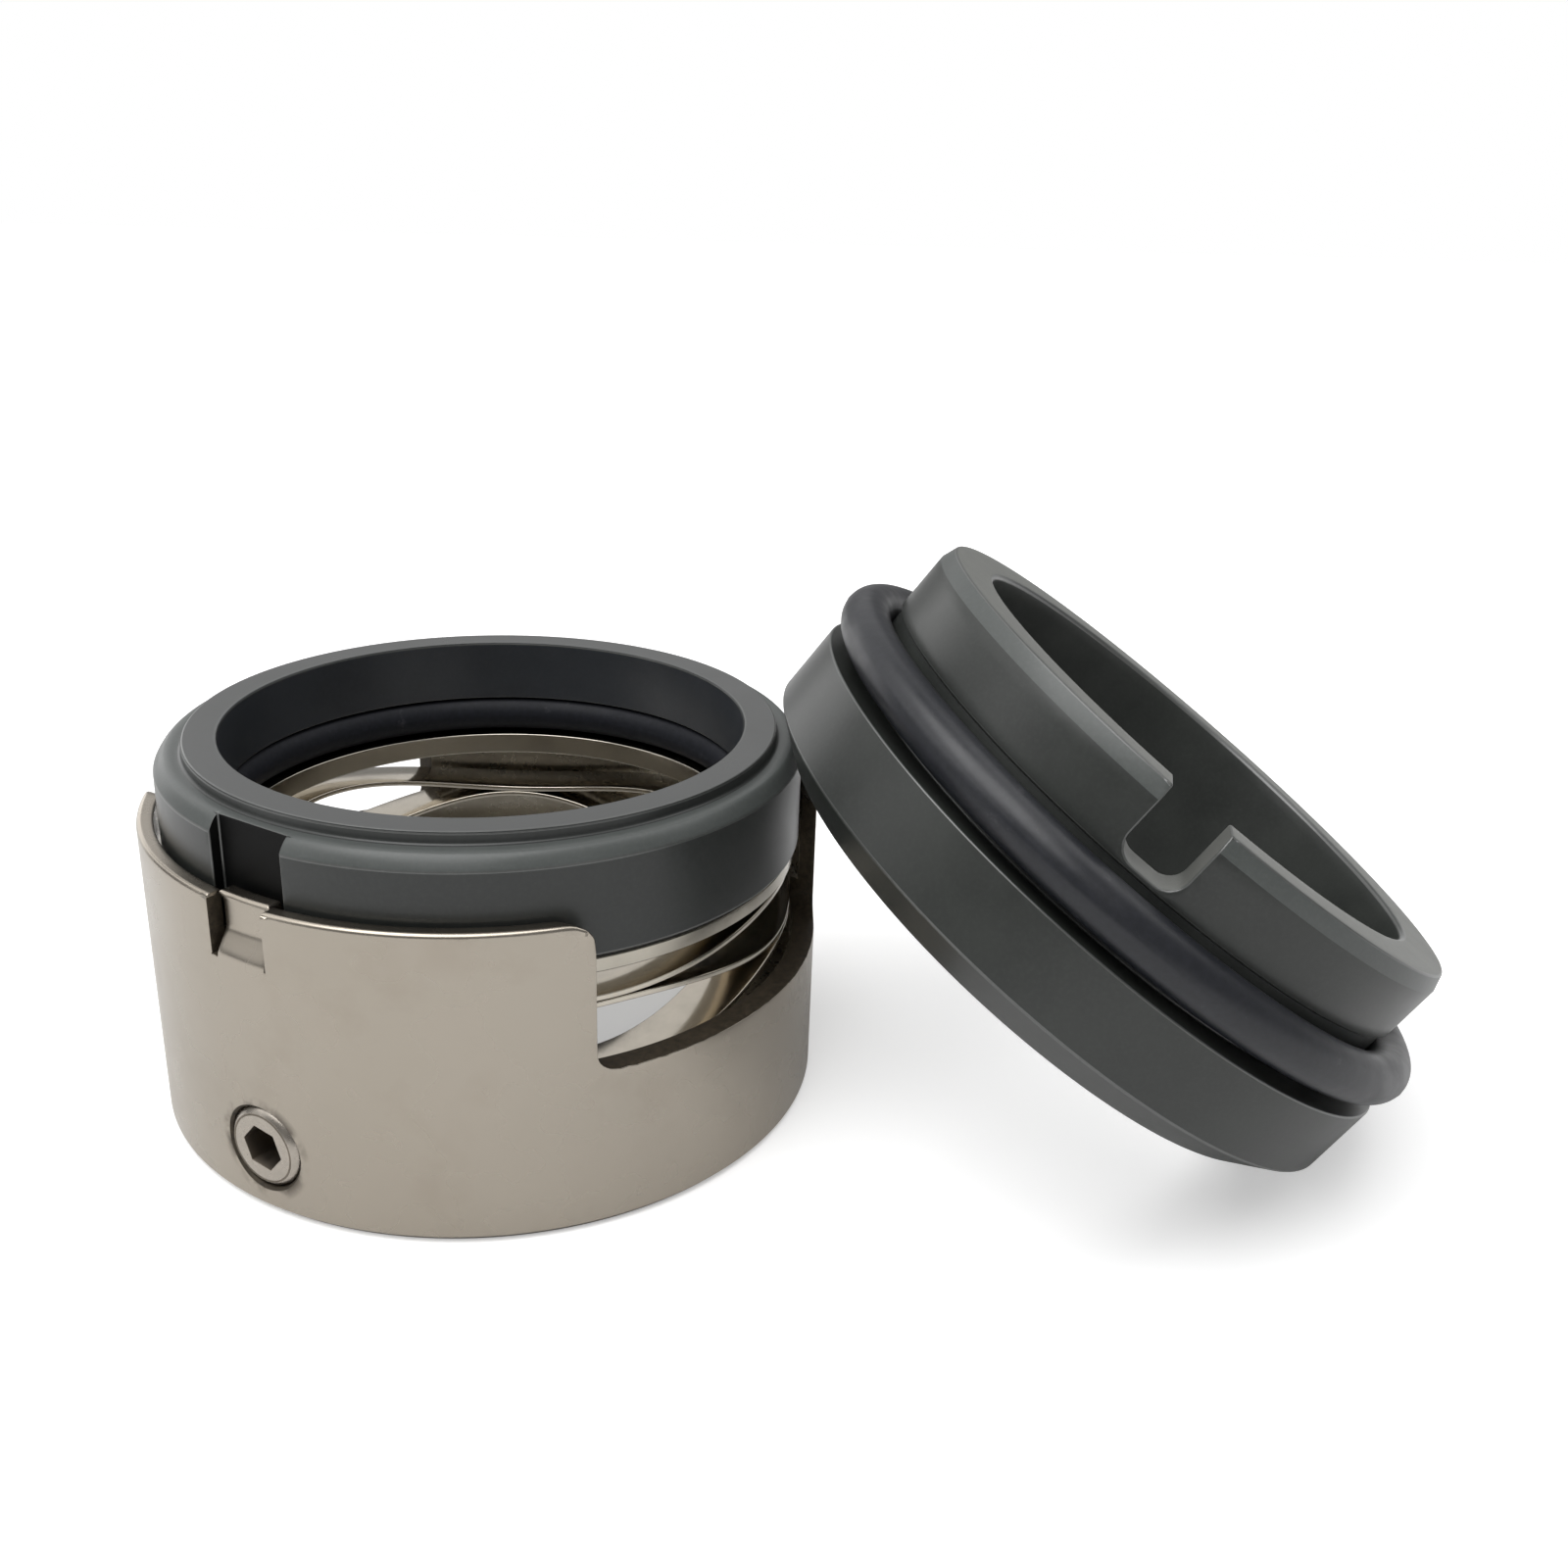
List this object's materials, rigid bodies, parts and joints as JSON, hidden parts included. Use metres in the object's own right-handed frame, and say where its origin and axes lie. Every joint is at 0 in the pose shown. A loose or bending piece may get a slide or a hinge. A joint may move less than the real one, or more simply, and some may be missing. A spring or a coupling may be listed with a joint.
{
  "type": "mechanical seal",
  "caption": "Shaft seal in ring form: a spring-loaded rotating head, locked to the shaft by set screws, and a separate stationary seat ring with its O-ring.",
  "frame": {"origin": "centre of the shaft bore at the base of the retainer, on the surface the seal stands on", "axes": "+Z along the head's axis, from the collar to the sealing nose; +X roughly towards the seat that leans on the head"},
  "size_m": [0.1135, 0.0754, 0.0504],
  "materials": {
    "retainer_steel": "fine-turned stainless steel, satin",
    "face_ceramic": "lapped silicon carbide, dark grey with a soft sheen",
    "seat_ceramic": "lapped silicon carbide, dark grey with a soft sheen",
    "rubber": "moulded black rubber, slightly glossy",
    "thrust_steel": "turned stainless steel, bright",
    "spring_steel": "rolled stainless spring strip, polished edges",
    "screw_steel": "stainless steel, satin"
  },
  "bodies": {
    "head": {"retainer": "retainer_steel", "wave_spring": "spring_steel", "seat_ring": "seat_ceramic", "seat_oring": "rubber"},
    "face": {"seal_face": "face_ceramic", "shaft_oring": "rubber", "thrust_ring": "thrust_steel"},
    "screw_1": {"set_screw_1": "screw_steel"},
    "screw_2": {"set_screw_2": "screw_steel"}
  },
  "joints": [
    {"name": "face_slide", "type": "slide", "parent": "head", "child": "face", "axis": [0, 0, -1], "range_m": [0, 0.004], "stiffness_N_per_m": 10000, "deforming": ["wave_spring"]},
    {"name": "set_screw_1_travel", "type": "slide", "parent": "head", "child": "screw_1", "axis": [0.6361, 0.7716, 0], "range_m": [-0.002, 0.0011]},
    {"name": "set_screw_2_travel", "type": "slide", "parent": "head", "child": "screw_2", "axis": [-0.6361, -0.7716, 0], "range_m": [-0.002, 0.0011]}
  ]
}
